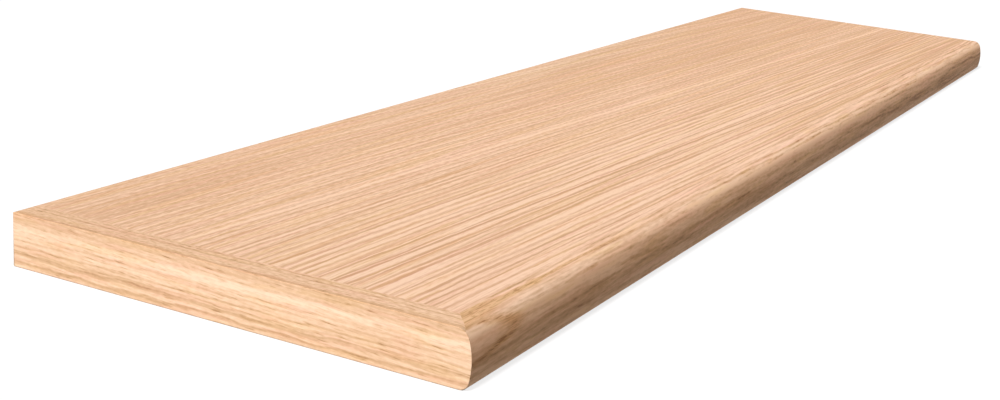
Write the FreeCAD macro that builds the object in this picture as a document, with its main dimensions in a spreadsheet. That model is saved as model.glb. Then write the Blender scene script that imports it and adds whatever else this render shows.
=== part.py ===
"""Stair tread: an oak panel edged by a bullnosed front strip and a flat end strip, mitred at the corner.

Frame, in millimetres: +Z is up, X runs along the tread and the nosing faces -Y. The origin is the
middle of the underside. The end strip closes the -X end, and the +X end is cut off square.
"""
import FreeCAD, Part
import math
import os

import Sketcher

# Driving dimensions, in millimetres
SIZES = {
    "tread_length": 1219.2,
    "tread_depth": 292.1,
    "tread_thickness": 31.75,
    # Width of the strip across the left end, and of the strip along the front
    "strip_width": 18.0,
    "nosing_width": 18.0,
    # The nosing's section: a top round, a gently crowned front and a small bottom round
    "top_radius": 8.0,
    "front_radius": 42.0,
    "bottom_radius": 5.5,
    # Height of the foremost line of the nosing above the underside
    "crown_height": 13.2,
    # Thickness of the end strip's front lip, which covers the end of the nosing
    "lip_thickness": 0.5,
    # How far behind the foremost line the mitre reaches the lip
    "mitre_setback": 4.5,
}

# From the nosing's joint line, how far forward the mitre runs, and where the cut is clear of the nosing
MITRE_RUN = "Sizes.nosing_width - Sizes.mitre_setback"
CUT_REACH = "2 * Sizes.nosing_width"

# The nosing's joint line and the tread's left end, in the tread's frame
JOINT_Y = "Sizes.nosing_width - Sizes.tread_depth / 2"
LEFT_END_X = "-Sizes.tread_length / 2"

# The sketch's own origin, as constraints name it
SKETCH_ORIGIN = (-1, 1)

# Largest part of the tread's volume by which its pieces may miss filling it
FILL_TOLERANCE = 1e-6

doc = FreeCAD.newDocument("stair_tread")


def make_sheet():
    """Write each driving dimension beside its name, which is also the cell's alias."""
    sheet = doc.addObject("Spreadsheet::Sheet", "Sizes")
    for row, (name, value) in enumerate(SIZES.items(), start=1):
        sheet.set(f"A{row}", name)
        sheet.set(f"B{row}", str(value))
        sheet.setAlias(f"B{row}", name)
    doc.recompute()
    return sheet


def make_body(name, corner_x):
    """Make a piece's body, with its corner on the nosing's joint line at the given place along the tread."""
    body = doc.addObject("PartDesign::Body", name)
    body.Label = name
    body.setExpression("Placement.Base.x", corner_x)
    body.setExpression("Placement.Base.y", JOINT_Y)
    return body


def make_sketch(body, name, plane_role):
    """Start a sketch on one of the body's own origin planes."""
    plane = next(item for item in body.Origin.OriginFeatures if item.Role == plane_role)
    sketch = body.newObject("Sketcher::SketchObject", name)
    sketch.AttachmentSupport = [(plane, "")]
    sketch.MapMode = "FlatFace"
    return sketch


def start_of(line):
    """A line's or arc's first point, as constraints name it."""
    return line, 1


def end_of(line):
    """A line's or arc's last point, as constraints name it."""
    return line, 2


def centre_of(arc):
    """An arc's centre, as constraints name it."""
    return arc, 3


def constrain(sketch, kind, *where):
    """Add one geometric constraint."""
    sketch.addConstraint(Sketcher.Constraint(kind, *where))


def keep_on_first_axis(sketch, point):
    """Hold a point on the sketch's first axis, which constraints count as -1."""
    constrain(sketch, "PointOnObject", *point, -1)


def keep_on_second_axis(sketch, point):
    """Hold a point on the sketch's second axis, which constraints count as -2."""
    constrain(sketch, "PointOnObject", *point, -2)


def dimension(sketch, name, expression, kind, *where):
    """Add a named dimension that follows an expression on the sheet."""
    value = float(sketch.evalExpression(expression))
    index = sketch.addConstraint(Sketcher.Constraint(kind, *where, value))
    sketch.renameConstraint(index, name)
    sketch.setExpression(f"Constraints.{name}", expression)


def draw_loop(sketch, corners):
    """Draw straight lines from corner to corner, joined end to start all the way round."""
    points = [FreeCAD.Vector(x, y, 0) for x, y in corners]
    count = len(points)
    for index in range(count):
        line = Part.LineSegment(points[index], points[(index + 1) % count])
        sketch.addGeometry(line, False)
    for index in range(count):
        constrain(sketch, "Coincident", *end_of(index), *start_of((index + 1) % count))


def draw_rectangle(sketch, length, width):
    """Draw a rectangle from the sketch's origin along both axes, sized by two expressions."""
    x = float(sketch.evalExpression(length))
    y = float(sketch.evalExpression(width))
    draw_loop(sketch, [(0, 0), (x, 0), (x, y), (0, y)])
    for line, direction in enumerate(("Horizontal", "Vertical", "Horizontal", "Vertical")):
        constrain(sketch, direction, line)
    constrain(sketch, "Coincident", *start_of(0), *SKETCH_ORIGIN)
    dimension(sketch, "rectangle_length", length, "DistanceX", *start_of(0), *end_of(0))
    dimension(sketch, "rectangle_width", width, "DistanceY", *start_of(1), *end_of(1))


def draw_side_section(sketch, back, sheet):
    """Draw the tread's section from a flat back edge to its bullnose, with the nosing's joint at 0.

    The bullnose is three arcs, each tangent to the next. The top and bottom rounds lie inside the
    front's circle, so their centres are the difference of the radii away from its centre.
    """
    thickness = sheet.tread_thickness
    front_centre = FreeCAD.Vector(sheet.front_radius - sheet.nosing_width, sheet.crown_height, 0)

    def round_centre(radius, height):
        reach = math.sqrt((sheet.front_radius - radius) ** 2 - (height - front_centre.y) ** 2)
        return FreeCAD.Vector(front_centre.x - reach, height, 0)

    def touch_angle(centre):
        return math.atan2(centre.y - front_centre.y, centre.x - front_centre.x) % (2 * math.pi)

    def arc(centre, radius, first, last):
        circle = Part.Circle(centre, FreeCAD.Vector(0, 0, 1), radius)
        return sketch.addGeometry(Part.ArcOfCircle(circle, first, last), False)

    def line(first, last):
        return sketch.addGeometry(Part.LineSegment(first, last), False)

    top_centre = round_centre(sheet.top_radius, thickness - sheet.top_radius)
    bottom_centre = round_centre(sheet.bottom_radius, sheet.bottom_radius)
    upper_touch = touch_angle(top_centre)
    lower_touch = touch_angle(bottom_centre)
    back_y = float(sketch.evalExpression(back))
    back_foot = FreeCAD.Vector(back_y, 0, 0)
    back_head = FreeCAD.Vector(back_y, thickness, 0)

    underside = line(back_foot, FreeCAD.Vector(bottom_centre.x, 0, 0))
    bottom_round = arc(bottom_centre, sheet.bottom_radius, lower_touch, 1.5 * math.pi)
    front = arc(front_centre, sheet.front_radius, upper_touch, lower_touch)
    top_round = arc(top_centre, sheet.top_radius, 0.5 * math.pi, upper_touch)
    top = line(FreeCAD.Vector(top_centre.x, thickness, 0), back_head)
    back_edge = line(back_head, back_foot)

    constrain(sketch, "Tangent", *end_of(underside), *end_of(bottom_round))
    constrain(sketch, "Tangent", *start_of(bottom_round), *end_of(front))
    constrain(sketch, "Tangent", *start_of(front), *end_of(top_round))
    constrain(sketch, "Tangent", *start_of(top_round), *start_of(top))
    constrain(sketch, "Coincident", *end_of(top), *start_of(back_edge))
    constrain(sketch, "Coincident", *end_of(back_edge), *start_of(underside))
    constrain(sketch, "Horizontal", underside)
    constrain(sketch, "Horizontal", top)
    constrain(sketch, "Vertical", back_edge)
    keep_on_first_axis(sketch, start_of(underside))
    dimension(sketch, "back", back, "DistanceX", *SKETCH_ORIGIN, *start_of(back_edge))
    dimension(sketch, "thickness", "Sizes.tread_thickness",
              "DistanceY", *end_of(back_edge), *start_of(back_edge))
    dimension(sketch, "top_radius", "Sizes.top_radius", "Radius", top_round)
    dimension(sketch, "front_radius", "Sizes.front_radius", "Radius", front)
    dimension(sketch, "bottom_radius", "Sizes.bottom_radius", "Radius", bottom_round)
    dimension(sketch, "crown_height", "Sizes.crown_height",
              "DistanceY", *SKETCH_ORIGIN, *centre_of(front))
    dimension(sketch, "crown_place", "Sizes.front_radius - Sizes.nosing_width",
              "DistanceX", *SKETCH_ORIGIN, *centre_of(front))


def draw_mitre(sketch, sheet, outer_side):
    """Draw the outline on one side of the corner joint.

    The joint slants from the panel's corner to the lip, then follows the lip's inner face forward
    until it is clear of the nosing. The outline closes round the tread's own corner to trim the
    nosing, and round the corner ahead of the panel's to trim the end strip.
    """
    run = float(sketch.evalExpression(MITRE_RUN))
    reach = float(sketch.evalExpression(CUT_REACH))
    panel_corner = (sheet.strip_width, 0)
    lip_heel = (sheet.lip_thickness, -run)
    lip_front = (sheet.lip_thickness, -reach)
    if outer_side:
        closing = [(0, -reach), (0, 0)]
    else:
        closing = [(sheet.strip_width, -reach)]
    corners = [panel_corner, lip_heel, lip_front, *closing]
    draw_loop(sketch, corners)
    for line in range(1, len(corners)):
        constrain(sketch, "Vertical" if line % 2 else "Horizontal", line)
    keep_on_first_axis(sketch, start_of(0))
    if outer_side:
        keep_on_second_axis(sketch, end_of(3))
    dimension(sketch, "panel_corner", "Sizes.strip_width", "DistanceX", *SKETCH_ORIGIN, *start_of(0))
    dimension(sketch, "lip_thickness", "Sizes.lip_thickness", "DistanceX", *SKETCH_ORIGIN, *end_of(0))
    dimension(sketch, "run", MITRE_RUN, "DistanceY", *end_of(0), *SKETCH_ORIGIN)
    dimension(sketch, "reach", CUT_REACH, "DistanceY", *end_of(1), *SKETCH_ORIGIN)


def pad(body, sketch, name, length):
    """Raise the sketch's outline into a solid of the given length."""
    feature = body.newObject("PartDesign::Pad", name)
    feature.Profile = sketch
    feature.setExpression("Length", length)
    return feature


def cut_upwards(body, sketch, name):
    """Cut the sketch's outline up through the whole piece."""
    feature = body.newObject("PartDesign::Pocket", name)
    feature.Profile = sketch
    feature.Type = "ThroughAll"
    feature.Reversed = True
    return feature


def make_tread_panel():
    """The broad flat board behind the nosing, from the end strip to the square-cut right end."""
    body = make_body("tread_panel", "Sizes.strip_width - Sizes.tread_length / 2")
    outline = make_sketch(body, "panel_outline", "XY_Plane")
    length = "Sizes.tread_length - Sizes.strip_width"
    depth = "Sizes.tread_depth - Sizes.nosing_width"
    draw_rectangle(outline, length, depth)
    pad(body, outline, "panel_board", "Sizes.tread_thickness")
    return body


def make_front_nosing(sheet):
    """The bullnosed strip along the front, square at the right end and mitred at the left."""
    body = make_body("front_nosing", LEFT_END_X)
    section = make_sketch(body, "nosing_section", "YZ_Plane")
    draw_side_section(section, "0", sheet)
    pad(body, section, "nosing_moulding", "Sizes.tread_length")
    offcut = make_sketch(body, "nosing_mitre_outline", "XY_Plane")
    draw_mitre(offcut, sheet, outer_side=True)
    cut_upwards(body, offcut, "nosing_mitre")
    return body


def make_end_strip(sheet):
    """The strip across the left end, flat outside, mitred at the front to a lip shaped like the nosing."""
    body = make_body("end_strip", LEFT_END_X)
    section = make_sketch(body, "strip_section", "YZ_Plane")
    draw_side_section(section, "Sizes.tread_depth - Sizes.nosing_width", sheet)
    blank = pad(body, section, "strip_blank", "Sizes.strip_width")
    offcut = make_sketch(body, "strip_mitre_outline", "XY_Plane")
    draw_mitre(offcut, sheet, outer_side=False)
    cut_upwards(body, offcut, "strip_mitre")
    return body, blank


def check_pieces(pieces, blank, sheet):
    """Stop unless every object is sound and the pieces together fill the tread's section along its length."""
    for item in doc.Objects:
        if {"Invalid", "Error"} & set(item.State):
            raise RuntimeError(f"{item.Label} did not build: {item.State}")
    for body in pieces:
        if body.Shape.isNull() or not body.Shape.isValid():
            raise RuntimeError(f"{body.Label} is not a sound solid")
    whole = blank.Shape.Volume / sheet.strip_width * sheet.tread_length
    filled = sum(body.Shape.Volume for body in pieces)
    if abs(filled - whole) > FILL_TOLERANCE * whole:
        raise RuntimeError(f"The pieces fill {filled:.0f} of {whole:.0f} cubic millimetres")


def main():
    sheet = make_sheet()
    tread_panel = make_tread_panel()
    front_nosing = make_front_nosing(sheet)
    end_strip, strip_blank = make_end_strip(sheet)
    pieces = [tread_panel, front_nosing, end_strip]
    doc.recompute()
    check_pieces(pieces, strip_blank, sheet)
    os.makedirs("parts", exist_ok=True)
    for body in pieces:
        body.Shape.exportStep(f"parts/{body.Label}.step")
        print(f"{body.Label}: {body.Shape.Volume:.0f} cubic millimetres")


main()
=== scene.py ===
"""An oak stair tread: a straight-grained panel, a bullnosed front strip and a strip across its left end.

The tread lies on its underside, with its length along X, the nosing towards -Y and the end strip at -X.
Shapes are in metres. The grain is in millimetres, measured along the tread from its left end, back from its
foremost line and down from its top.
"""
import math

import bpy
import numpy as np
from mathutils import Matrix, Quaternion, Vector


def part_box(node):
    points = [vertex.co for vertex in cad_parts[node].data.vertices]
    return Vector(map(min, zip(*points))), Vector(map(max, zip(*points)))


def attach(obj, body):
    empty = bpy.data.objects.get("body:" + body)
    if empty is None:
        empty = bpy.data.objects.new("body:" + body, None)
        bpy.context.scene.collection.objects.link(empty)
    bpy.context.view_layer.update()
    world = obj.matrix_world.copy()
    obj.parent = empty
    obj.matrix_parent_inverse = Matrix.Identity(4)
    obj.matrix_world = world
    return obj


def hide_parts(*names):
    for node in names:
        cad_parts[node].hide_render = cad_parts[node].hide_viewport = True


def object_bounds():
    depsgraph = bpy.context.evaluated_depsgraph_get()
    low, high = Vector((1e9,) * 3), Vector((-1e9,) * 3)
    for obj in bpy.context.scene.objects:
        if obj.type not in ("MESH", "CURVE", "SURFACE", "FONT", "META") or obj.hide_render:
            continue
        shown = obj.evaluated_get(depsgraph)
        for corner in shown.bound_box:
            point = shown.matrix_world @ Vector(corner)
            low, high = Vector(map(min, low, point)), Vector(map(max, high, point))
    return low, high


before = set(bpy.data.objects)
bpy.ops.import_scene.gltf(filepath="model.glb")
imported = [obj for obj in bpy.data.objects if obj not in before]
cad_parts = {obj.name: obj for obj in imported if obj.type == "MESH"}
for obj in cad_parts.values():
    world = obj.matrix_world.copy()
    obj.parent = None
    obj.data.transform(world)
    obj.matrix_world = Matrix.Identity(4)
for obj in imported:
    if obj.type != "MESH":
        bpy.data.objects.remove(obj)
cad_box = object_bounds()

MM = 0.001

# Faces of the tread, from the frame
LEFT, FRONT = cad_box[0][:2]
RIGHT, BACK, TOP = cad_box[1]
JOINT_X, JOINT_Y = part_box("tread_panel")[0][:2]
STRIP_WIDTH = JOINT_X - LEFT
NOSING_WIDTH = JOINT_Y - FRONT

# Section of the nosing, and the mitre and thin front lip that join the end strip to it
TOP_RADIUS = 8.0 * MM
FRONT_RADIUS = 42.0 * MM
BOTTOM_RADIUS = 5.5 * MM
CROWN_HEIGHT = 13.2 * MM
LIP_THICKNESS = 0.5 * MM
MITRE_SETBACK = 4.5 * MM

# Sanded arrises: the ends' edges, softer at the underside, and the corners of the long edges
END_EASE = 0.35 * MM
FOOT_EASE = 1.0 * MM
FOOT_BLEND = 4.0 * MM
EDGE_EASE = 0.6 * MM

# Points on an eased corner and on the bullnose's stretches, the bend from which an edge is sharp, and
# how near a point lies that counts as in place
EASE_STEPS = 4
BULLNOSE_STEPS = (14, 12, 30, 10, 10)
SHARP_ANGLE = math.radians(40)
POINT_TOLERANCE = 0.001 * MM

# Oak colours as 8-bit display values, by tone: 0 is the darkest pore and 1 the palest summer growth. A
# pattern's weight is how far it shifts the tone or, in a wave, how many mm it moves the growth rings.
OAK_TONES = (
    (0.00, (172, 125, 86)),
    (0.25, (206, 161, 121)),
    (0.50, (225, 181, 144)),
    (0.75, (240, 198, 164)),
    (1.00, (254, 215, 184)),
)
TONE_SOFTNESS = 0.3

# Tints: what a colour is multiplied by where the wood is of another hue
# Russet and brown also tint painted light and painted warm bounce light on the nosing's front.
PINK = (1.0, 0.955, 0.97)
GOLD = (0.995, 0.99, 0.9)
STRAW = (0.965, 0.995, 1.0)
RUSSET = (1.0, 0.93, 0.84)
BROWN = (0.97, 0.86, 0.74)
GOLDEN_BROWN = (0.93, 0.88, 0.74)
END_GRAIN = (0.80, 0.74, 0.68)

# Bare sanded oak: hardly any gloss, and a relief as deep as its open pores, in mm
OAK_ROUGHNESS = 0.6
FIBRE_ROUGHNESS = 0.05
OAK_SPECULAR = 0.12
PORE_RELIEF = 0.06

# Where the far part of the tread begins and where it is reached, in mm along
FAR_PART = (350, 1200)

# How far a face looks along the fibres where its end grain begins to show and where it shows in full
END_FACING = (0.7, 0.95)
STRIP_END_FACING = (0.5, 0.95)

# Panel grain in mm: how its growth rings slant, fan out and dip, and where they turn from bold to faint.
# A set of lines has a spacing, a fade to either side and strengths. A shift gives a set places of its own.
# A ring with a mark of its own is (place among the rings, half width, strength).
PANEL_SLANT = 0.038
PANEL_FAN = 0.00014
PANEL_DIP = 0.5
PANEL_BOLD_RING = 100
PANEL_FAINT_RING = 215
PANEL_BACK_RING = 275
PANEL_LINES = dict(spacing=5.2, unevenness=0.65, fade=(0.3, 1.9), least=0.6, spread=0.5)
PANEL_FINE_LINES = dict(spacing=3.1, unevenness=0.9, fade=(0.1, 1.3))
PANEL_FINE_SHIFT = 500.0
PANEL_PALE_LINES = dict(spacing=5.2, unevenness=0.95, fade=(0.1, 1.1))
PANEL_PALE_SHIFT = 900.0
PANEL_DARK_RINGS = ((78.5, 3.0, 0.6), (91.8, 2.6, 0.8))
PANEL_PALE_RINGS = ((192.0, 2.4, 1.0), (197.2, 1.8, 0.8))
PANEL_TONE_FLOOR = 0.32

# Nosing grain in mm: how its growth rings step back, along and down, their lines, the lines of the front,
# the golden vein on the top, and the arch on the front near the corner
NOSING_BACK_STEP = 0.75
NOSING_ALONG_STEP = 0.015
NOSING_DOWN_STEP = 0.6
NOSING_LINES = dict(spacing=3.8, unevenness=0.85, fade=(0.1, 1.5), least=0.4, spread=0.9)
NOSING_FRONT_SLANT = 0.03
NOSING_FRONT_LINES = dict(spacing=6.5, unevenness=0.9, fade=(0.3, 2.4))
VEIN_BACK = 12.8
VEIN_SLANT = 0.012
VEIN_HALF_WIDTH = 1.5
VEIN_TONE = 0.72
ARCH_TIP = 46
ARCH_HALF_WIDTH = 17
ARCH_DEPTH = 8.3
ARCH_BEND = 0.5

# End strip grain in mm: how its growth rings step across the top, their lines, the turn of the fibres, and
# the rings with marks of their own. Their places are 0 at the upper edge, more on the top, less on the face.
STRIP_TOP_STEP = 0.8
STRIP_LINES = dict(spacing=3.4, unevenness=0.8, fade=(0.1, 1.0), least=0.35, spread=0.9)
STRIP_FIBRE_TURN = (math.radians(4), 0, 0)
STRIP_EDGE_RING = -1.5
STRIP_EDGE_HALF_WIDTH = 5.5
STRIP_DARK_RINGS = ((0.6, 3.2, 0.7), (-5.6, 1.2, 0.7), (8.6, 0.9, 0.7))
STRIP_PALE_RINGS = ((-9.0, 4.2, 1.0), (14.0, 1.2, 0.5))
STRIP_WAVY_RINGS = ((-19.4, 0.9, 0.35), (-23.6, 1.1, 1.0), (-28.2, 1.2, 1.0))
STRIP_TONE_FLOOR = 0.38

# Camera at the photograph's viewpoint
IMAGE_SENSOR = 36.0
LENS = 55.933
CAMERA_PLACE = Vector((-1.2248, -0.4619, 0.2864))
CAMERA_FORWARD = Vector((0.86249, 0.43158, -0.26430))
CAMERA_ROLL = math.radians(4.612)
CAMERA_NEAREST = 0.01

# Studio: a soft key light from the left, a pale floor and a white surround
KEY_FROM = Vector((-0.72, -0.02, 0.69))
KEY_STRENGTH = 4.3
KEY_SOFTNESS = math.radians(14)
SKY_LIGHT = 0.02
FLOOR_BOUNCE = 0.41
FLOOR_WHITE = 0.26
FLOOR_GLOW = 0.80
FLOOR_ROUGHNESS = 0.9
FLOOR_REACH = 12.0
WHITE = (1, 1, 1, 1)

# Sockets of a Mix node that mixes colours
MIX_AMOUNT = 0
MIX_COLOUR = 6
MIX_TINT = 7
MIX_RESULT = 2


# Shapes

def arc(centre, radius, start, end, count):
    """Points of a round stretch at even angles in degrees: the centre plus radius times (cosine, sine)."""
    angle = np.radians(np.linspace(start, end, count))
    return np.stack([centre[0] + radius * np.cos(angle), centre[1] + radius * np.sin(angle)], axis=1)


def bullnose():
    """The nosing's front as (y, z) points, from the flat top round to the underside.

    Three arcs that run into each other. A small circle touches the large front circle from inside, so its
    centre is the difference of the two radii away from the large one's centre, and both arcs meet on the
    line through the two centres. The small arcs have a point where the mitre meets the end strip's lip.
    """
    crown = (FRONT + FRONT_RADIUS, CROWN_HEIGHT)
    top_height = TOP - TOP_RADIUS
    top_rise = math.asin((top_height - CROWN_HEIGHT) / (FRONT_RADIUS - TOP_RADIUS))
    top_back = crown[0] - (FRONT_RADIUS - TOP_RADIUS) * math.cos(top_rise)
    bottom_fall = math.asin((CROWN_HEIGHT - BOTTOM_RADIUS) / (FRONT_RADIUS - BOTTOM_RADIUS))
    bottom_back = crown[0] - (FRONT_RADIUS - BOTTOM_RADIUS) * math.cos(bottom_fall)
    upper_meeting = 180 - math.degrees(top_rise)
    lower_meeting = 180 + math.degrees(bottom_fall)
    mitre_y = FRONT + MITRE_SETBACK
    upper_mitre = 180 - math.degrees(math.acos((top_back - mitre_y) / TOP_RADIUS))
    lower_mitre = 180 + math.degrees(math.acos((bottom_back - mitre_y) / BOTTOM_RADIUS))
    top_steps, shoulder_steps, front_steps, foot_steps, bottom_steps = BULLNOSE_STEPS
    stretches = [
        arc((top_back, top_height), TOP_RADIUS, 90, upper_mitre, top_steps),
        arc((top_back, top_height), TOP_RADIUS, upper_mitre, upper_meeting, shoulder_steps)[1:],
        arc(crown, FRONT_RADIUS, upper_meeting, lower_meeting, front_steps)[1:],
        arc((bottom_back, BOTTOM_RADIUS), BOTTOM_RADIUS, lower_meeting, lower_mitre, foot_steps)[1:],
        arc((bottom_back, BOTTOM_RADIUS), BOTTOM_RADIUS, lower_mitre, 270, bottom_steps)[1:],
    ]
    return np.concatenate(stretches)


def back_section():
    """The section behind the nosing as (y, z) points: a rectangle whose two back corners are small arcs."""
    edge = BACK - EDGE_EASE
    lower = arc((edge, EDGE_EASE), EDGE_EASE, 270, 360, EASE_STEPS)
    upper = arc((edge, TOP - EDGE_EASE), EDGE_EASE, 0, 90, EASE_STEPS)
    return np.concatenate([[[JOINT_Y, 0.0]], lower, upper, [[JOINT_Y, TOP]]])


def nosing_section():
    """The nosing's section as (y, z) points: its joint face, then the bullnose from top to bottom."""
    return np.concatenate([[[JOINT_Y, 0.0], [JOINT_Y, TOP]], bullnose()])


def whole_section():
    """The tread's whole section as (y, z) points: the back part, then the bullnose."""
    return np.concatenate([back_section(), bullnose()])


def mitre_x(section):
    """Where the corner joint cuts each section point: behind the lip, then slantwise to the panel.

    From the mitre's front to the panel's front, x goes evenly from the lip's inner face to the panel's end.
    """
    share = np.clip((section[:, 0] - FRONT - MITRE_SETBACK) / (NOSING_WIDTH - MITRE_SETBACK), 0, 1)
    return LEFT + LIP_THICKNESS + share * (STRIP_WIDTH - LIP_THICKNESS)


def inward(section):
    """How each section point moves when every side moves in by one.

    It is the sum of the inward normals of its two sides, divided by one plus their cosine. A point on the
    joint with the nosing stays on the joint.
    """
    side = np.roll(section, -1, axis=0) - section
    normal = np.stack([-side[:, 1], side[:, 0]], axis=1) / np.linalg.norm(side, axis=1, keepdims=True)
    before = np.roll(normal, 1, axis=0)
    move = (normal + before) / (1 + np.sum(normal * before, axis=1, keepdims=True))
    move[np.isclose(section[:, 0], JOINT_Y), 0] = 0
    return move


def ring_at(section, x):
    """One ring of 3-D points: the section's (y, z) at the given x, one value or one for each point."""
    return np.column_stack([np.broadcast_to(x, len(section)), section])


def eased_end(section, end_x, outwards):
    """Rings that round an end's edge over: a quarter circle from the full section to the section moved in.

    Downwards over the lowest FOOT_BLEND of the height, the radius grows evenly from END_EASE to FOOT_EASE.
    """
    share = np.clip(1 - section[:, 1:] / FOOT_BLEND, 0, 1)
    radius = END_EASE + (FOOT_EASE - END_EASE) * share
    move = radius * inward(section)
    rings = []
    for turn in np.linspace(0, math.pi / 2, EASE_STEPS):
        x = end_x - outwards * radius[:, 0] * (1 - math.sin(turn))
        rings.append(ring_at(section + move * (1 - math.cos(turn)), x))
    return rings


def carried(name, rings, caps):
    """A closed piece: rings of equal length along +X, joined by four-sided faces, with end caps.

    The section runs anticlockwise seen from +X, so that every face points outwards. A cap is a list of point
    numbers into all the rings.
    """
    points = np.concatenate(rings)
    number = np.arange(len(points)).reshape(len(rings), -1)
    following = np.roll(number, -1, axis=1)
    sides = np.stack([number[:-1], following[:-1], following[1:], number[1:]], axis=-1).reshape(-1, 4)
    mesh = bpy.data.meshes.new(name)
    mesh.from_pydata(points.tolist(), [], sides.tolist() + caps)
    mesh.polygons.foreach_set("use_smooth", np.ones(len(mesh.polygons), dtype=bool))
    mesh.set_sharp_from_angle(angle=SHARP_ANGLE)
    mesh.validate()
    piece = bpy.data.objects.new(name, mesh)
    bpy.context.scene.collection.objects.link(piece)
    flat_faces = piece.modifiers.new("Keep flat faces flat", "WEIGHTED_NORMAL")
    flat_faces.keep_sharp = True
    return piece


def caps_of(count, ring_count):
    """The first ring as a face towards -X, and the last as a face towards +X."""
    first = list(range(count))[::-1]
    last = list(range(count * (ring_count - 1), count * ring_count))
    return [first, last]


def split_lip(section, ring):
    """A ring's point numbers at the lip's inner face, and the others. The two points between are in both."""
    ahead = section[:, 0] <= FRONT + MITRE_SETBACK + POINT_TOLERANCE
    first, last = np.flatnonzero(ahead)[[0, -1]]
    return ring[first:last + 1], ring[last:] + ring[:first + 1]


def make_panel():
    """The panel: the back section carried from the end strip's inner face to the right end."""
    section = back_section()
    rings = [ring_at(section, JOINT_X)] + eased_end(section, RIGHT, 1)
    return carried("oak_panel", rings, caps_of(len(section), len(rings)))


def make_nosing():
    """The nosing: its section carried from the corner joint to the right end."""
    section = nosing_section()
    rings = [ring_at(section, mitre_x(section))] + eased_end(section, RIGHT, 1)
    first, last = caps_of(len(section), len(rings))
    lip_face, mitre_face = split_lip(section, first[::-1])
    return carried("oak_nosing", rings, [lip_face[::-1], mitre_face[::-1], last])


def make_strip():
    """The end strip: the whole section carried from its outer face to the panel and the corner joint."""
    section = whole_section()
    rings = eased_end(section, LEFT, -1)[::-1] + [ring_at(section, mitre_x(section))]
    first, last = caps_of(len(section), len(rings))
    corner = len(back_section()) - 1
    lip_face, behind = split_lip(section, last)
    inner_face = last[:corner + 1]
    mitre_face = [point for point in behind if point not in inner_face[1:-1]]
    return carried("oak_end_strip", rings, [first, inner_face, mitre_face, lip_face])


# Material patterns

class Field:
    """A number that varies from place to place: one output of a node. Arithmetic on it adds Math nodes."""

    def __init__(self, tree, socket):
        self.tree = tree
        self.socket = socket

    def math(self, operation, *others):
        """A Math node's result for this field and the other fields or numbers."""
        node = self.tree.nodes.new("ShaderNodeMath")
        node.operation = operation
        for value, socket in zip((self, *others), node.inputs):
            feed(self.tree, value, socket)
        return Field(self.tree, node.outputs[0])

    def __add__(self, other):
        return self.math("ADD", other)

    def __sub__(self, other):
        return self.math("SUBTRACT", other)

    def __rsub__(self, other):
        return self.math("MULTIPLY_ADD", -1.0, other)

    def __mul__(self, other):
        return self.math("MULTIPLY", other)

    def __truediv__(self, other):
        return self.math("DIVIDE", other)

    __radd__ = __add__
    __rmul__ = __mul__

    def magnitude(self):
        return self.math("ABSOLUTE")

    def larger(self, other):
        return self.math("MAXIMUM", other)

    def floored(self, floor):
        """The field with its low end rounded off, so that it stays above a floor."""
        return self.math("SMOOTH_MAX", floor, TONE_SOFTNESS)

    def rise(self, low, high):
        """0 at low and 1 at high, or the other way round where low is the larger, with soft ends."""
        node = self.tree.nodes.new("ShaderNodeMapRange")
        node.interpolation_type = "SMOOTHSTEP"
        feed(self.tree, self, node.inputs["Value"])
        node.inputs["From Min"].default_value = min(low, high)
        node.inputs["From Max"].default_value = max(low, high)
        node.inputs["To Min"].default_value = float(low > high)
        node.inputs["To Max"].default_value = float(low < high)
        return Field(self.tree, node.outputs["Result"])

    def band(self, centre, half_width):
        """1 on a line at centre, falling softly to 0 at half_width to either side."""
        return (self - centre).magnitude().rise(half_width, 0.0)

    def bands(self, marks):
        """The sum of several bands, each given as (centre, half width, strength)."""
        return sum(strength * self.band(centre, half_width) for centre, half_width, strength in marks)


def feed(tree, value, socket):
    """Joins a field to a socket, or sets the socket to a plain number."""
    if isinstance(value, Field):
        tree.links.new(value.socket, socket)
    else:
        socket.default_value = value


def linear(colour):
    """An 8-bit display colour as the linear values that a shader works in, by the sRGB curve."""
    share = np.array(colour) / 255
    low = share / 12.92
    high = ((share + 0.055) / 1.055) ** 2.4
    return (*np.where(share <= 0.04045, low, high).tolist(), 1.0)


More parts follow.
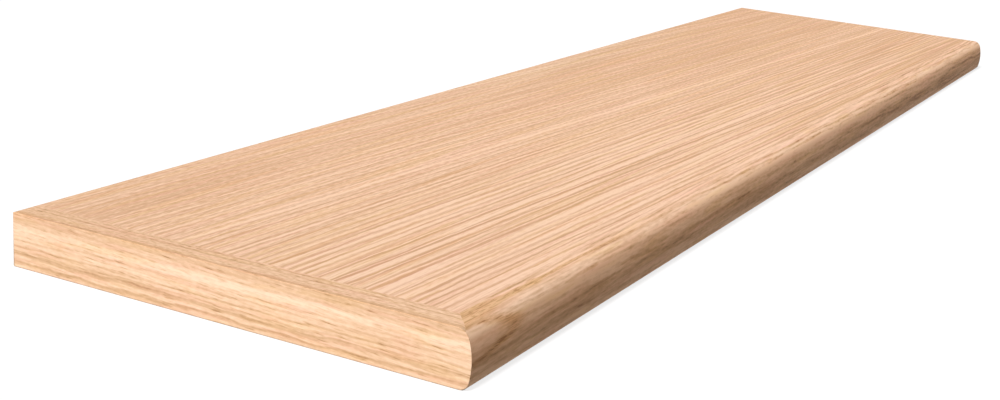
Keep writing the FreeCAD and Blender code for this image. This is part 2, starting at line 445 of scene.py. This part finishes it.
class Oak:
    """One piece's oak: a material whose patterns are worked out from the place in the wood, in mm."""

    def __init__(self, name):
        self.material = bpy.data.materials.new(name)
        self.material.use_nodes = True
        self.tree = self.material.node_tree
        self.shader = self.tree.nodes["Principled BSDF"]
        coordinates = self.tree.nodes.new("ShaderNodeTexCoord")
        self.place = self.mapped(
            coordinates.outputs["Object"],
            location=(-LEFT / MM, -FRONT / MM, TOP / MM),
            scale=(1 / MM, 1 / MM, -1 / MM),
        )
        self.along, self.back, self.down = self.parts(self.place)
        self.facing_x, self.facing_y = self.parts(coordinates.outputs["Normal"])[:2]

    def mapped(self, vector, location=(0, 0, 0), turn=(0, 0, 0), scale=(1, 1, 1)):
        """A vector scaled, then turned, then moved."""
        node = self.tree.nodes.new("ShaderNodeMapping")
        self.tree.links.new(vector, node.inputs["Vector"])
        node.inputs["Location"].default_value = location
        node.inputs["Rotation"].default_value = turn
        node.inputs["Scale"].default_value = scale
        return node.outputs["Vector"]

    def parts(self, vector):
        """A vector's three parts, each as a field."""
        node = self.tree.nodes.new("ShaderNodeSeparateXYZ")
        self.tree.links.new(vector, node.inputs["Vector"])
        return [Field(self.tree, out) for out in node.outputs]

    def noise(self, lengths, seed=0.0, detail=1.0, turn=None):
        """Smooth random values from about -1 to 1, in lumps of the given lengths along X, Y and Z.

        The lumps can be turned about the three axes.
        """
        node = self.tree.nodes.new("ShaderNodeTexNoise")
        place = self.place if turn is None else self.mapped(self.place, turn=turn)
        place = self.mapped(place, location=(seed, seed, seed), scale=[1 / length for length in lengths])
        self.tree.links.new(place, node.inputs["Vector"])
        node.inputs["Scale"].default_value = 1.0
        node.inputs["Detail"].default_value = detail
        return Field(self.tree, node.outputs["Fac"]).math("MULTIPLY_ADD", 2.0, -1.0)

    def lines(self, across, broken, spacing, unevenness, fade, least=0.0, spread=1.0):
        """Lines at uneven steps along a field, each with a strength of its own.

        A line is full up to the first distance in fade and gone at the second. Its strength is the least
        one, plus a chance share of the spread, plus the broken field, which makes it come and go.
        """
        node = self.tree.nodes.new("ShaderNodeTexVoronoi")
        node.voronoi_dimensions = "1D"
        self.tree.links.new(across.socket, node.inputs["W"])
        node.inputs["Scale"].default_value = 1 / spacing
        node.inputs["Randomness"].default_value = unevenness
        parts = self.tree.nodes.new("ShaderNodeSeparateColor")
        self.tree.links.new(node.outputs["Color"], parts.inputs["Color"])
        distance = spacing * Field(self.tree, node.outputs["Distance"])
        chance = Field(self.tree, parts.outputs["Red"])
        core, edge = fade
        return distance.rise(edge, core) * (least + spread * chance + broken)

    def ramp(self, field, stops):
        """A colour for each value of a field, blended between (value, colour) stops."""
        node = self.tree.nodes.new("ShaderNodeValToRGB")
        feed(self.tree, field, node.inputs["Fac"])
        elements = node.color_ramp.elements
        for extra in range(len(stops) - len(elements)):
            elements.new(1.0)
        for element, (value, colour) in zip(elements, stops):
            element.position = value
            element.color = linear(colour)
        return node.outputs["Color"]

    def tinted(self, colour, tint, amount):
        """A colour multiplied by a tint, as far as amount says."""
        node = self.tree.nodes.new("ShaderNodeMix")
        node.data_type = "RGBA"
        node.blend_type = "MULTIPLY"
        feed(self.tree, amount, node.inputs[MIX_AMOUNT])
        self.tree.links.new(colour, node.inputs[MIX_COLOUR])
        node.inputs[MIX_TINT].default_value = (*tint, 1.0)
        return node.outputs[MIX_RESULT]

    def finish(self, tone, fibre, tints):
        """Sets the shader: colour and relief from the tone, hues by (tint, amount) pairs, gloss by fibre."""
        colour = self.ramp(tone, OAK_TONES)
        for tint, amount in tints:
            colour = self.tinted(colour, tint, amount)
        self.tree.links.new(colour, self.shader.inputs["Base Color"])
        roughness = OAK_ROUGHNESS + FIBRE_ROUGHNESS * fibre
        self.tree.links.new(roughness.socket, self.shader.inputs["Roughness"])
        self.shader.inputs["Specular IOR Level"].default_value = OAK_SPECULAR
        bump = self.tree.nodes.new("ShaderNodeBump")
        bump.inputs["Strength"].default_value = 1.0
        bump.inputs["Distance"].default_value = PORE_RELIEF * MM
        self.tree.links.new(tone.socket, bump.inputs["Height"])
        self.tree.links.new(bump.outputs["Normal"], self.shader.inputs["Normal"])
        return self.material


# Panel

def panel_ring(oak):
    """The place among the panel's growth rings: the distance back, slanted, fanned out, dipping and wavy."""
    wave = 1.6 * oak.noise((120, 16, 16)) + oak.noise((30, 5, 5), seed=3.0)
    wave = wave + 0.6 * oak.noise((12, 4, 4), seed=59.0)
    fanned = (oak.back + PANEL_SLANT * oak.along) / (1.0 - PANEL_FAN * oak.along)
    return fanned + PANEL_DIP * oak.down + wave


def panel_level(oak, ring, bold, far, pale_edge):
    """The panel's broad tone: pale in front, at the corner and along the back, deeper at the far end."""
    drift = oak.noise((500, 30, 30), seed=19.0)
    behind = ring.rise(PANEL_FAINT_RING, PANEL_BACK_RING)
    pale_corner = oak.along.rise(150, 50) * oak.back.band(60, 24)
    level = 0.71 + 0.21 * bold + 0.12 * drift - 0.05 * behind
    return level - far * (0.12 + 0.15 * bold) + 0.15 * pale_corner + 0.1 * pale_edge


def panel_tints(oak, tone, line, pale_edge):
    """The panel's hues: straw along the back edge, pink in the lines, and streaks of pink and gold."""
    not_palest = tone.rise(1.1, 0.75)
    front_corner = oak.along.rise(200, 40) * oak.back.rise(90, 30)
    pink_streak = oak.noise((200, 4, 4), seed=23.0, detail=2.0).rise(-0.03, 0.17)
    gold_streak = oak.noise((170, 4, 4), seed=29.0, detail=2.0).rise(0.0, 0.2)
    gold_zone = oak.noise((600, 14, 14), seed=61.0).rise(0.0, 0.3)
    return (
        (STRAW, pale_edge),
        (PINK, 0.7 * line),
        (PINK, 0.4 * front_corner),
        (PINK, not_palest * pink_streak),
        (GOLD, not_palest * gold_streak),
        (GOLD, 0.25 * gold_zone),
        (END_GRAIN, oak.facing_x.rise(*END_FACING)),
    )


def panel_oak():
    """Straight rift grain: lines about 5 mm apart that fan out a little, bold in front and faint behind."""
    oak = Oak("panel_oak_straight_grain")
    ring = panel_ring(oak)
    bold = ring.rise(PANEL_FAINT_RING, PANEL_BOLD_RING)
    far = oak.along.rise(*FAR_PART)
    calm = (1.0 - bold) * oak.along.rise(350, 120)
    pale_edge = oak.back.rise(240, 285) * oak.along.band(700, 450)

    broken = 0.6 * oak.noise((110, 3, 3), seed=41.0)
    line = oak.lines(ring, broken, **PANEL_LINES)
    fine_line = oak.lines(ring + PANEL_FINE_SHIFT, broken, **PANEL_FINE_LINES)
    pale_line = oak.lines(ring + PANEL_PALE_SHIFT, broken, **PANEL_PALE_LINES)
    speck = oak.noise((7, 1.3, 1.3), seed=7.0, detail=2.0)
    fibre = oak.noise((160, 1.4, 1.4), seed=11.0, detail=3.0)
    streak = oak.noise((260, 4.5, 4.5), seed=15.0, detail=2.0)

    tone = panel_level(oak, ring, bold, far, pale_edge)
    tone = tone - line * (0.14 + 0.36 * bold) * (1.0 - 0.05 * far)
    tone = tone - fine_line * (0.2 - 0.08 * calm) + pale_line * (0.36 - 0.14 * calm)
    tone = tone - 0.25 * ring.bands(PANEL_DARK_RINGS) + 0.36 * ring.bands(PANEL_PALE_RINGS)
    tone = tone + fibre * (0.3 + 0.17 * bold) + streak * (0.28 + 0.04 * bold) + speck * (0.55 - 0.25 * bold)
    tone = tone.floored(PANEL_TONE_FLOOR)
    return oak.finish(tone, fibre, panel_tints(oak, tone, line, pale_edge))


# Nosing

def nosing_vein(oak, wave):
    """The golden vein on the top: 1 up to 0.6 of its half width and 0 at 1.3 of it.

    It is widest at the corner, swells again further on, and fades out along the tread and on the rounding.
    """
    place = (oak.back + VEIN_SLANT * oak.along + 0.5 * wave - VEIN_BACK).magnitude()
    corner = oak.along.rise(60, 15)
    first_part = oak.along.rise(95, 60)
    swelling = oak.along.band(87, 9)
    half_width = VEIN_HALF_WIDTH + 3.5 * corner + 1.2 * first_part + 1.6 * swelling
    on_top = oak.down.rise(4.0, 1.2)
    fading = oak.along.rise(320, 100)
    return (place / half_width).rise(1.3, 0.6) * on_top * fading


def nosing_arch(oak, wave, front):
    """The arch on the front, and the calm heart inside it.

    The arch is a parabola open towards the corner: the distance along plus a share of the depth squared.
    """
    depth = oak.down - ARCH_DEPTH
    place = oak.along + ARCH_BEND * depth * depth + 2.0 * wave
    arch = place.band(ARCH_TIP, ARCH_HALF_WIDTH) * oak.down.rise(0.3, 1.5)
    heart = place.rise(40, 26) * front
    return arch, heart


def nosing_level(oak, shoulder_highlight):
    """The nosing's broad tone: painted light on its shoulder, upper front and foot, painted shade half-way
    down, deeper by the vein.
    """
    drift = oak.noise((110, 9, 9), seed=17.0, detail=2.0)
    far = oak.along.rise(*FAR_PART)
    # Painted light and shade: the upper front and the foot are made paler and the crown half-way down
    # darker, as light and floor bounce would fall on the rounding.
    painted_upper_light = oak.down.band(6, 4)
    painted_crown_shade = oak.down.band(18, 9)
    painted_foot_light = oak.down.rise(20, 31)
    beside_vein = oak.along.rise(200, 60) * oak.back.band(8.5, 5.5)
    below_arch = oak.along.rise(90, 30) * oak.down.rise(14, 20)
    level = 0.84 + 0.35 * drift - 0.08 * far + 0.23 * shoulder_highlight
    level = level + 0.1 * painted_foot_light + 0.2 * painted_upper_light - painted_crown_shade * (0.24 + 0.1 * far)
    return level - 0.17 * beside_vein + 0.13 * below_arch


def nosing_tints(oak, vein, arch, heart, shoulder_highlight):
    """The nosing's hues: a golden brown vein, a front from russet to brown, and streaks of pink and gold;
    the russet also colours the painted light, and the brown is partly painted warm bounce light.
    """
    flat_top = oak.down.rise(0.5, 0.1) * oak.along.rise(60, 140)
    # The russet of the upper front is the hue of its painted light; the brown below the top is partly the
    # wood's own and partly painted warm bounce light.
    painted_upper_light = oak.down.band(6, 4.5)
    brown_and_warm_bounce = oak.down.rise(2, 11)
    lower_front = oak.down.rise(7, 18)
    return (
        (GOLDEN_BROWN, vein),
        (RUSSET, 0.8 * arch),
        (PINK, 0.5 * heart),
        (PINK, 0.45 * flat_top),
        (RUSSET, 0.65 * shoulder_highlight),
        (RUSSET, painted_upper_light),
        (BROWN, brown_and_warm_bounce),
        (GOLD, 0.45 * lower_front),
        (PINK, oak.noise((70, 6, 6), seed=31.0, detail=2.0).rise(0.0, 0.4)),
        (GOLD, oak.noise((50, 5, 5), seed=33.0, detail=2.0).rise(0.0, 0.4)),
        (END_GRAIN, oak.facing_x.rise(*END_FACING)),
    )


def nosing_oak():
    """Flat-sawn figure: a golden vein on the nosing's top, and brown streaks and an arch on its front."""
    oak = Oak("nosing_oak_flat_figure")
    wave = 2.0 * oak.noise((60, 20, 20), seed=2.0) + 0.8 * oak.noise((16, 6, 6), seed=5.0)
    ring = NOSING_BACK_STEP * oak.back + NOSING_ALONG_STEP * oak.along - NOSING_DOWN_STEP * oak.down + wave
    front_ring = oak.down + NOSING_FRONT_SLANT * oak.along + 2.0 * wave
    front = oak.down.rise(3, 9)
    rounded = oak.down.rise(0.1, 1.5)
    # Painted highlight: this band on the shoulder is made paler and russet, standing in for light rolling
    # over the rounding.
    shoulder_highlight = oak.down.band(3, 3) * oak.along.rise(60, 200)
    vein = nosing_vein(oak, wave)
    arch, heart = nosing_arch(oak, wave, front)
    calm = 1.0 - 0.4 * oak.down.band(8, 7) - 0.4 * heart

    broken = 0.8 * oak.noise((60, 3, 3), seed=47.0)
    line = oak.lines(ring, broken, **NOSING_LINES)
    front_line = front * oak.lines(front_ring, broken, **NOSING_FRONT_LINES)
    pores = (0.4 + line) * oak.noise((9, 1.2, 1.2), seed=9.0, detail=2.0).rise(0.0, 0.5)
    dashes = vein.larger(arch) * oak.noise((8, 1.1, 0.6), seed=51.0).rise(-0.05, 0.25)
    mottle = oak.noise((7, 1.6, 1.6), seed=55.0, detail=2.0)
    fibre = oak.noise((40, 1.6, 1.6), seed=13.0, detail=3.0)
    streak = oak.noise((50, 2.6, 2.6), seed=43.0, detail=2.0)

    tone = nosing_level(oak, shoulder_highlight) - 0.36 * line * calm - 0.2 * pores
    tone = tone + (0.55 * fibre + 0.45 * streak) * calm + mottle * (0.25 + 0.15 * rounded)
    tone = tone - 0.6 * vein * (tone - VEIN_TONE)
    tone = tone - 0.38 * dashes - 0.26 * arch - 0.22 * front_line * calm
    return oak.finish(tone, fibre, nosing_tints(oak, vein, arch, heart, shoulder_highlight))


# End strip

def strip_ring(oak, low):
    """The place among the strip's growth rings: across the top, down the face, and wavier low down."""
    wave = oak.noise((14, 35, 14), seed=4.0) * (1.0 + 1.5 * low)
    wave = wave + oak.noise((4, 14, 4), seed=6.0) * (0.6 + 0.6 * low)
    return STRIP_TOP_STEP * oak.along - oak.down + wave


def strip_level(oak, top, low):
    """The strip's broad tone: deeper on the top, low on the face and behind, paler at the back corner."""
    drift = oak.noise((14, 120, 14), seed=16.0)
    behind = oak.back.rise(140, 290)
    back_corner = oak.back.rise(255, 290) * oak.down.rise(8, 14)
    return 0.77 + 0.12 * drift - 0.03 * top - 0.06 * low - 0.04 * behind + 0.13 * back_corner


def strip_tints(oak, top, low):
    """The strip's hues: straw on the face, gold on the top, and streaks of gold and pink."""
    face = oak.down.rise(0.1, 0.6)
    gold_streak = oak.noise((6, 45, 6), seed=57.0, detail=2.0).rise(0.0, 0.25)
    pink_streak = oak.noise((5, 50, 5), seed=37.0, detail=2.0).rise(0.0, 0.2)
    return (
        (STRAW, face),
        (STRAW, 0.4 * low),
        (GOLD, 0.35 * top),
        (GOLD, 0.6 * gold_streak),
        (PINK, pink_streak),
        (END_GRAIN, oak.facing_y.magnitude().rise(*STRIP_END_FACING)),
    )


def strip_oak():
    """Long grain across the end: even lines on the top, a pale band on the face and wavy lines below it."""
    oak = Oak("strip_oak_long_grain")
    top = oak.down.rise(0.6, 0.1)
    low = oak.down.rise(14, 24)
    ring = strip_ring(oak, low)
    edge = ring.band(STRIP_EDGE_RING, STRIP_EDGE_HALF_WIDTH)
    wavy_rings = ring.bands(STRIP_WAVY_RINGS)

    broken = 0.8 * oak.noise((3, 35, 3), seed=45.0)
    line = oak.lines(ring, broken, **STRIP_LINES)
    pores = oak.noise((0.8, 11, 0.8), seed=8.0, detail=2.0, turn=STRIP_FIBRE_TURN).rise(0.05, 0.45)
    pores = pores * (0.6 + 0.5 * line) * (1.0 - 0.7 * wavy_rings)
    fibre = oak.noise((1.4, 45, 1.4), seed=12.0, detail=3.0, turn=STRIP_FIBRE_TURN)
    streak = oak.noise((3.0, 90, 3.0), seed=49.0, detail=2.0)
    mottle = oak.noise((1.5, 4, 1.5), seed=53.0, detail=2.0)

    tone = strip_level(oak, top, low) - line * (0.22 - 0.05 * top + 0.03 * low) - 0.2 * edge
    tone = tone - 0.2 * ring.bands(STRIP_DARK_RINGS) + 0.18 * ring.bands(STRIP_PALE_RINGS)
    tone = tone + fibre * (0.34 - 0.2 * top) + 0.2 * streak + mottle * (0.26 + 0.3 * top)
    tone = tone.floored(STRIP_TONE_FLOOR) - 0.42 * wavy_rings - pores * (0.48 - 0.12 * low)
    return oak.finish(tone, fibre, strip_tints(oak, top, low))


# Pieces in the frame

def dress(piece, node, material):
    """Gives a piece its oak and makes it stand for its node, fixed to the tread."""
    piece.data.materials.append(material)
    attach(piece, "root")
    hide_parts(node)


# Studio

def backdrop_rays(tree):
    """1 for rays that see the background: from the camera, in a gloss or through something clear."""
    path = tree.nodes.new("ShaderNodeLightPath")
    straight = Field(tree, path.outputs["Is Camera Ray"])
    gloss = Field(tree, path.outputs["Is Glossy Ray"])
    through = Field(tree, path.outputs["Is Transmission Ray"])
    return straight.larger(gloss).larger(through)


def make_floor():
    """A pale floor: white to the eye, light grey in the light that it throws back on the tread."""
    reach = FLOOR_REACH
    corners = [(-reach, -reach, 0), (reach, -reach, 0), (reach, reach, 0), (-reach, reach, 0)]
    mesh = bpy.data.meshes.new("studio_floor")
    mesh.from_pydata(corners, [], [(0, 1, 2, 3)])
    floor = bpy.data.objects.new("studio_floor", mesh)
    bpy.context.scene.collection.objects.link(floor)
    material = bpy.data.materials.new("pale_floor")
    material.use_nodes = True
    tree = material.node_tree
    shader = tree.nodes["Principled BSDF"]
    seen = backdrop_rays(tree)
    grey = FLOOR_BOUNCE + (FLOOR_WHITE - FLOOR_BOUNCE) * seen
    tree.links.new(grey.socket, shader.inputs["Base Color"])
    shader.inputs["Roughness"].default_value = FLOOR_ROUGHNESS
    shader.inputs["Specular IOR Level"].default_value = 0.0
    shader.inputs["Emission Color"].default_value = WHITE
    glow = FLOOR_GLOW * seen
    tree.links.new(glow.socket, shader.inputs["Emission Strength"])
    mesh.materials.append(material)


def make_surround():
    """A white surround to the eye, and a dim even light on the tread."""
    world = bpy.data.worlds.new("white_surround")
    bpy.context.scene.world = world
    world.use_nodes = True
    tree = world.node_tree
    sky = tree.nodes["Background"]
    sky.inputs["Color"].default_value = WHITE
    strength = SKY_LIGHT + (1 - SKY_LIGHT) * backdrop_rays(tree)
    tree.links.new(strength.socket, sky.inputs["Strength"])


def make_key_light():
    """One broad soft light from the tread's left, half-way up."""
    light = bpy.data.lights.new("key_light", "SUN")
    light.energy = KEY_STRENGTH
    light.angle = KEY_SOFTNESS
    lamp = bpy.data.objects.new("key_light", light)
    lamp.rotation_mode = "QUATERNION"
    lamp.rotation_quaternion = KEY_FROM.to_track_quat("Z", "Y")
    bpy.context.scene.collection.objects.link(lamp)


def make_camera():
    """The photograph's camera: low, off the tread's left front corner, tilted a little to one side."""
    data = bpy.data.cameras.new("viewpoint")
    data.sensor_fit = "HORIZONTAL"
    data.sensor_width = IMAGE_SENSOR
    data.lens = LENS
    data.clip_start = CAMERA_NEAREST
    camera = bpy.data.objects.new("viewpoint", data)
    camera.location = CAMERA_PLACE
    camera.rotation_mode = "QUATERNION"
    upright = CAMERA_FORWARD.to_track_quat("-Z", "Y")
    camera.rotation_quaternion = upright @ Quaternion((0, 0, 1), CAMERA_ROLL)
    bpy.context.scene.collection.objects.link(camera)
    bpy.context.scene.camera = camera


dress(make_panel(), "tread_panel", panel_oak())
dress(make_nosing(), "front_nosing", nosing_oak())
dress(make_strip(), "end_strip", strip_oak())
make_floor()
make_surround()
make_key_light()
make_camera()
bpy.context.scene.view_settings.view_transform = "Standard"
